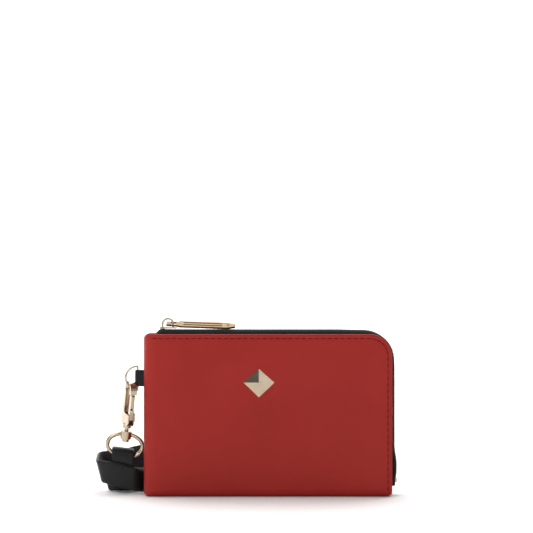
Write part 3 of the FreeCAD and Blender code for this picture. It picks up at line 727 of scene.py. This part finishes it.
def strap_route():
    """The closed wrist loop, folded up behind the wallet, its round end passing in front of the tab."""
    one, two, three, four = LANES
    rest = STRAP_W / 2 + 0.3
    turn = (two - one) / 2
    return [
        station(FAR_X - 14, one, rest),
        station(-55, one, rest),
        station(-68, one - 0.1, rest),
        station(-74.2, one - 2.4, rest + 0.3),
        station(-78.5, 6.1, rest + 1.0),
        station(-83.0, 4.0, rest + 2.2),
        station(-90.0, 3.6, rest + 4.2, Vector((-0.12, 0, 0.99))),
        station(LEFT_X + 6.2, 4.8, rest + 5.8, LEANING),
        station(LEFT_X + 1.9, 7.6, rest + 6.5, LEANING),
        station(LEFT_X + 0.9, 15.5, rest + 7.9, LEANING),
        station(LEFT_X + 1.2, 24.0, rest + 9.3, LEANING),
        station(LEFT_X + 4.8, four - 0.2, rest + 9.7, Vector((-0.20, 0, 0.98))),
        station(-88.0, four + 0.4, rest + 10.9, Vector((-0.1, 0, 0.99))),
        station(-80.0, four + 0.5, rest + 13.0, Vector((-0.1, 0, 0.99))),
        station(-73.0, four + 0.3, rest + 13.0),
        station(-62.0, four, rest + 7.0),
        station(-50.0, four, rest + 1.0),
        station(FAR_X - 14, four, rest),
        station(FAR_X - 4, four - 0.2, rest),
        station(FAR_X, four - turn, rest),
        station(FAR_X - 4, three + 0.2, rest),
        station(FAR_X - 14, three, rest),
        station(-60, three, rest),
        station(-85, three, rest),
        station(-96.0, three - 0.3, rest, Vector((-0.25, 0, 0.97))),
        station(-99.6, two + turn, rest + 0.1, Vector((-0.42, 0, 0.91))),
        station(-96.0, two + 0.3, rest, Vector((-0.25, 0, 0.97))),
        station(-85, two, rest),
        station(-60, two, rest),
        station(FAR_X - 14, two, rest),
        station(FAR_X - 4, two - 0.2, rest),
        station(FAR_X, one + turn, rest),
        station(FAR_X - 4, one + 0.2, rest),
    ]


strap_path = smooth_through(strap_route(), True, 5)
# The loop's inner side takes the lighter grey leather, which is painted light.
strap = ribbon("wrist_strap", strap_path, STRAP_T, [BLACK_LEATHER, LIT_GREY_STRAP_SIDE], closed=True)
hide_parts("strap_loop_end", "strap_lanes")
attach(strap, "strap")


def edge_stitches(path):
    """Stitch places along both edges of the wrist loop's grain side."""
    places = []
    left = 0.0
    for (centre, across, width), (following, _, _) in zip(path, path[1:] + path[:1]):
        along = following - centre
        length = along.length
        along.normalize()
        flat = (across - along * across.dot(along)).normalized()
        out = -along.cross(flat)
        while left < length:
            on_face = centre + along * left + out * (STRAP_T / 2 - STRAP_STITCH_SUNK)
            for edge in (-1, 1):
                places.append((on_face + flat * edge * (width / 2 - STRAP_STITCH_INSET), along, out))
            left += STRAP_STITCH_PITCH
        left -= length
    return places


strap_stitches = stitch_mesh("strap_stitching", edge_stitches(strap_path), STRAP_STITCH, BLACK_THREAD)
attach(strap_stitches, "strap")


# ---------------------------------------------------------------- strap tab

TAB_X = (TAB_LOW.x + TAB_HIGH.x) / 2 - 0.3
TAB_W = TAB_HIGH.x - TAB_LOW.x
TAB_TILT = math.radians(7)
TAB_ACROSS = Vector((math.cos(TAB_TILT), 0, -math.sin(TAB_TILT)))
TAB_T = 1.4
tab_top = TAB_HIGH.z - TAB_T / 2
tab_mid_y = (TAB_LOW.y + TAB_HIGH.y) / 2
# The tab's middle line as (y, z): up the front leg, over the swivel loop, down the back leg.
tab_profile = [
    (14.2, 2.4), (12.8, 6.5), (9.8, 11.0), (6.7, 15.0), (tab_mid_y - 3.2, 19.1), (tab_mid_y - 3.3, 23.0),
    (tab_mid_y - 2.3, tab_top - 1.0), (tab_mid_y, tab_top), (tab_mid_y + 2.3, tab_top - 1.0),
    (tab_mid_y + 3.3, 23.0), (tab_mid_y + 3.1, 18.7), (10.3, 13.8), (12.4, 10.6), (14.6, 7.0), (15.6, 2.4),
]
tab_path = smooth_through([station(TAB_X, y, z, TAB_ACROSS, TAB_W) for y, z in tab_profile], False, 3)
strap_tab = ribbon("strap_tab_leather", tab_path, TAB_T, [BLACK_LEATHER])
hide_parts("strap_tab")
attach(strap_tab, "strap")


# ---------------------------------------------------------------- side tab

SIDE_LOW, SIDE_HIGH = node_box("side_tab")
SIDE_TAB_T = 0.95
RING_X = SIDE_LOW.x + 1.6               # the ring's bar, in the tab's fold
side_mid = (SIDE_LOW.z + SIDE_HIGH.z) / 2
side_height = SIDE_HIGH.z - SIDE_LOW.z - 0.4
# The tab's middle line as (x, y): out of the seam, round the ring's bar and back.
side_profile = [
    (SIDE_HIGH.x - 1.0, -0.62), (-70.0, -0.62), (-74.0, -0.66), (RING_X + 1.5, -0.85), (RING_X + 0.4, -1.12),
    (RING_X - 0.75, -0.85), (RING_X - 1.12, 0.0), (RING_X - 0.75, 0.85), (RING_X + 0.4, 1.12),
    (RING_X + 1.5, 0.85), (-74.0, 0.66), (-70.0, 0.62), (SIDE_HIGH.x - 1.0, 0.62),
]
side_path = smooth_through([station(x, y, side_mid, UPRIGHT, side_height) for x, y in side_profile], False, 3)
side_tab = ribbon("side_tab_leather", side_path, SIDE_TAB_T, [BLACK_LEATHER])
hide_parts("side_tab")
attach(side_tab, "wallet")


# ---------------------------------------------------------------- inside: divider and card pockets

ROLL = 0.8                              # the width of the rolled upper edge, and its distance from the top
ROLL_HEIGHT = 0.06


def sheet_piece(name, node, radius, material, bulge):
    """A flat inner sheet with rounded upper corners, a rolled upper edge and a slight bulge."""
    low, high = node_box(node)
    corners = [
        (high.x - radius, high.z - radius, 1, 1, radius),
        (low.x + radius, high.z - radius, -1, 1, radius),
    ]
    half = (high.y - low.y) / 2 * 0.9
    verts = []
    columns = 41
    rows = 25
    for face in (-1, 1):
        for v in steps(0.0, 1.0, rows):
            for u in steps(0.0, 1.0, columns):
                square = (low.x + (high.x - low.x) * u, low.z + (high.z - low.z) * v)
                x, z = to_rounded_corner(*square, corners)
                swell = bulge * math.sin(math.pi * u) * (0.3 + 0.7 * math.sin(math.pi * min(v, 0.98)))
                roll = ROLL_HEIGHT * math.exp(-((high.z - z - ROLL) / ROLL) ** 2)
                middle = (low.y + high.y) / 2 - swell
                verts.append((x, middle + face * (half + roll), z))
    size = rows * columns
    front = grid_faces(rows, columns)
    faces = front + [tuple(size + k for k in face[::-1]) for face in front]
    border = list(range(columns))
    border += [j * columns + columns - 1 for j in range(1, rows)]
    border += [(rows - 1) * columns + i for i in range(columns - 2, -1, -1)]
    border += [j * columns for j in range(rows - 2, 0, -1)]
    for a, b in zip(border, border[1:] + border[:1]):
        faces.append((b, a, size + a, size + b))
    piece = mesh_piece(name, verts, faces, material)
    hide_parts(node)
    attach(piece, "wallet")
    return piece


def pocket_stitches(node):
    """One row of stitches under a card pocket's upper edge."""
    low, high = node_box(node)
    start = low.x + POCKET_STITCH_MARGIN
    end = high.x - POCKET_STITCH_MARGIN
    places = []
    for x in steps(start, end, int((end - start) / POCKET_STITCH_PITCH)):
        middle = Vector((x, low.y - POCKET_STITCH_PROUD, high.z - POCKET_STITCH_DROP))
        places.append((middle, Vector((1, 0, 0)), Vector((0, -1, 0))))
    return places


for node in ("card_pocket_1", "card_pocket_2", "card_pocket_3"):
    sheet_piece("%s_leather" % node, node, 2.0, BLACK_LEATHER, 0.12)
    thread = stitch_mesh("%s_stitching" % node, pocket_stitches(node), POCKET_STITCH, BLACK_THREAD)
    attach(thread, "wallet")

divider = sheet_piece("divider_cloth", "centre_divider", 9.0, LINING_WEAVE, 0.3)


# ---------------------------------------------------------------- seam piping

BEAD_INSET = 0.35
BEAD_RADII = (0.55, 0.33)               # across the seam, and out of it


def bead_line():
    """Down the left side, round the corner and along the base."""
    turn = LOW_CORNER_R
    reach = turn - BEAD_INSET
    line = [Vector((-HALF_W + BEAD_INSET, 0, z)) for z in steps(HEIGHT - 4.5, turn, 40)]
    for angle in steps(0, math.pi / 2, 7)[1:]:
        line.append(Vector((-HALF_W + turn - reach * math.cos(angle), 0, turn - reach * math.sin(angle))))
    line += [Vector((x, 0, BEAD_INSET)) for x in steps(-HALF_W + turn, HALF_W - 4.0, 80)[1:]]
    return line


def seam_bead():
    """The welt in the seam, a thin rolled strip."""
    line = bead_line()
    verts = []
    spokes = 8
    side = Vector((0, 1, 0))
    for i, centre in enumerate(line):
        out = direction_at(line, i).cross(side)
        for angle in ring_angles(spokes):
            offset = side * BEAD_RADII[0] * math.cos(angle) + out * BEAD_RADII[1] * math.sin(angle)
            verts.append(centre + offset)
    return mesh_piece("seam_piping", verts, grid_faces(len(line), spokes, round_columns=True), RED_LEATHER)


piping = seam_bead()
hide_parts("seam_welt")
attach(piping, "wallet")


# ---------------------------------------------------------------- the gate's spring

CLASP_UP = Vector((0.115, -0.2, 0.973)).normalized()
SPRING_TURNS = 5
SPRING_LENGTH = 2.6
SPRING_RADIUS = 0.62
SPRING_WIRE_R = 0.16


def gate_spring():
    """A small coil spring along the clasp, where the CAD keeps its room."""
    low, high = node_box("gate_spring")
    middle = (low + high) / 2
    across = CLASP_UP.cross(Vector((0, 1, 0))).normalized()
    deep = CLASP_UP.cross(across)
    line = []
    for share in steps(0.0, 1.0, SPRING_TURNS * 16 + 1):
        angle = 2 * math.pi * SPRING_TURNS * share
        rise = CLASP_UP * (SPRING_LENGTH * (share - 0.5))
        line.append(middle + rise + (across * math.cos(angle) + deep * math.sin(angle)) * SPRING_RADIUS)
    return tube("gate_coil_spring", line, SPRING_WIRE_R, 6, SPRING_STEEL)


spring = gate_spring()
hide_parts("gate_spring")
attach(spring, "clasp")


# ---------------------------------------------------------------- metal that keeps its CAD shape

def finish_metal(node, material, bevel):
    """A CAD node in its own metal, its sharp edges broken by a bevel in millimetres."""
    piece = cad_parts[node]
    piece.data.materials.clear()
    piece.data.materials.append(material)
    if bevel:
        edge = piece.modifiers.new("edge", "BEVEL")
        edge.width = bevel * MM
        edge.segments = 2
        edge.limit_method = "ANGLE"
        edge.angle_limit = math.radians(35)
        edge.harden_normals = False


for node, bevel in (
    ("slider_body", 0.22), ("slider_bridge", 0.0), ("d_ring", 0.0), ("clasp_body", 0.3),
    ("clasp_gate", 0.25), ("gate_pin", 0.15), ("swivel_rivet", 0.25), ("swivel_loop", 0.25), ("badge", 0.12),
    ("badge_pin_left", 0.0), ("badge_pin_right", 0.0), ("badge_washer", 0.1),
):
    finish_metal(node, PALE_GOLD, bevel)
finish_metal("bottom_stop", TOOTH_METAL, 0.12)
finish_metal("pull_tab", PULL_GOLD, 0.25)


# ---------------------------------------------------------------- floor, light and camera

SWEEP_FRONT = -1600.0                   # the sweep's sizes are millimetres
SWEEP_BEND = 500.0
SWEEP_R = 300.0
SWEEP_TOP = 1800.0
SWEEP_HALF_W = 2000.0
GLOW_START = 0.40                       # metres from the origin, as are the lamps and the camera
GLOW_END = 1.10
GLOW_STRENGTH = 0.95
SKY_LIGHT = 0.14
SKY_SEEN = 1.02
MIDDLE = (0, 0, 0.05)
LENS = 112.4
CAMERA_X = -0.00066
CAMERA_Z = 0.1387
CAMERA_DISTANCE = 1.0                   # from the wallet's front face


def glowing_floor_paper():
    """Pale paper with a painted glow: it emits white light, from none near the object up to plain white away
    from it.
    """
    material, tree, shader, coords = new_material("glowing_floor_paper")
    shader.inputs["Base Color"].default_value = (0.90, 0.89, 0.885, 1)
    shader.inputs["Roughness"].default_value = 0.85
    shader.inputs["Specular IOR Level"].default_value = 0.1
    reach = tree.nodes.new("ShaderNodeVectorMath")
    reach.operation = "LENGTH"
    tree.links.new(coords, reach.inputs[0])
    # The painted glow: emission that grows with distance from the origin.
    glow = tree.nodes.new("ShaderNodeMapRange")
    glow.interpolation_type = "SMOOTHSTEP"
    glow.inputs["From Min"].default_value = GLOW_START
    glow.inputs["From Max"].default_value = GLOW_END
    glow.inputs["To Max"].default_value = GLOW_STRENGTH
    tree.links.new(reach.outputs["Value"], glow.inputs["Value"])
    shader.inputs["Emission Color"].default_value = (1, 1, 1, 1)
    tree.links.new(glow.outputs["Result"], shader.inputs["Emission Strength"])
    return material


def sweep():
    """The floor, curving up into a backdrop."""
    profile = [(SWEEP_FRONT, 0.0), (SWEEP_BEND, 0.0)]
    for angle in steps(0, math.pi / 2, 12)[1:]:
        rise = SWEEP_R * (1 - math.cos(angle))
        profile.append((SWEEP_BEND + SWEEP_R * math.sin(angle), rise))
    profile.append((SWEEP_BEND + SWEEP_R, SWEEP_TOP))
    verts = []
    for y, z in profile:
        verts += [(-SWEEP_HALF_W, y, z), (SWEEP_HALF_W, y, z)]
    floor = mesh_piece("floor", verts, grid_faces(len(profile), 2), glowing_floor_paper())


def surroundings():
    """White to the camera and dim to everything else, so that the lamps shape the object."""
    world = bpy.data.worlds.new("studio")
    world.use_nodes = True
    bpy.context.scene.world = world
    sky = world.node_tree.nodes["Background"]
    sky.inputs["Color"].default_value = (1, 1, 1, 1)
    rays = world.node_tree.nodes.new("ShaderNodeLightPath")
    seen = world.node_tree.nodes.new("ShaderNodeMapRange")
    seen.inputs["To Min"].default_value = SKY_LIGHT
    seen.inputs["To Max"].default_value = SKY_SEEN
    world.node_tree.links.new(rays.outputs["Is Camera Ray"], seen.inputs["Value"])
    world.node_tree.links.new(seen.outputs["Result"], sky.inputs["Strength"])


def area_light(name, place, target, size, power):
    light = bpy.data.lights.new(name, "AREA")
    light.shape = "RECTANGLE"
    light.size, light.size_y = size
    light.energy = power
    lamp = bpy.data.objects.new(name, light)
    lamp.location = place
    lamp.rotation_euler = (Vector(target) - Vector(place)).to_track_quat("-Z", "Y").to_euler()
    bpy.context.scene.collection.objects.link(lamp)


def photo_camera():
    """A level camera in front of the wallet, set where the photograph was taken from."""
    data = bpy.data.cameras.new("camera")
    data.sensor_width = 36.0
    data.lens = LENS
    camera = bpy.data.objects.new("camera", data)
    camera.location = (CAMERA_X, -HALF_D * MM - CAMERA_DISTANCE, CAMERA_Z)
    camera.rotation_euler = (math.pi / 2, 0, 0)
    bpy.context.scene.collection.objects.link(camera)
    bpy.context.scene.camera = camera
    bpy.context.scene.view_settings.view_transform = "Standard"


sweep()
surroundings()
area_light("overhead", (-0.1, 0.30, 1.25), MIDDLE, (1.7, 1.1), 18.0)
area_light("key_left", (-1.0, -1.0, 0.75), MIDDLE, (0.7, 0.8), 7.4)
area_light("front_fill", (0.55, -1.5, 0.45), MIDDLE, (1.3, 0.9), 4.0)
area_light("sweep_wash", (0, 0.3, 1.3), (0, 0.85, 0.3), (1.8, 0.5), 2.6)
photo_camera()
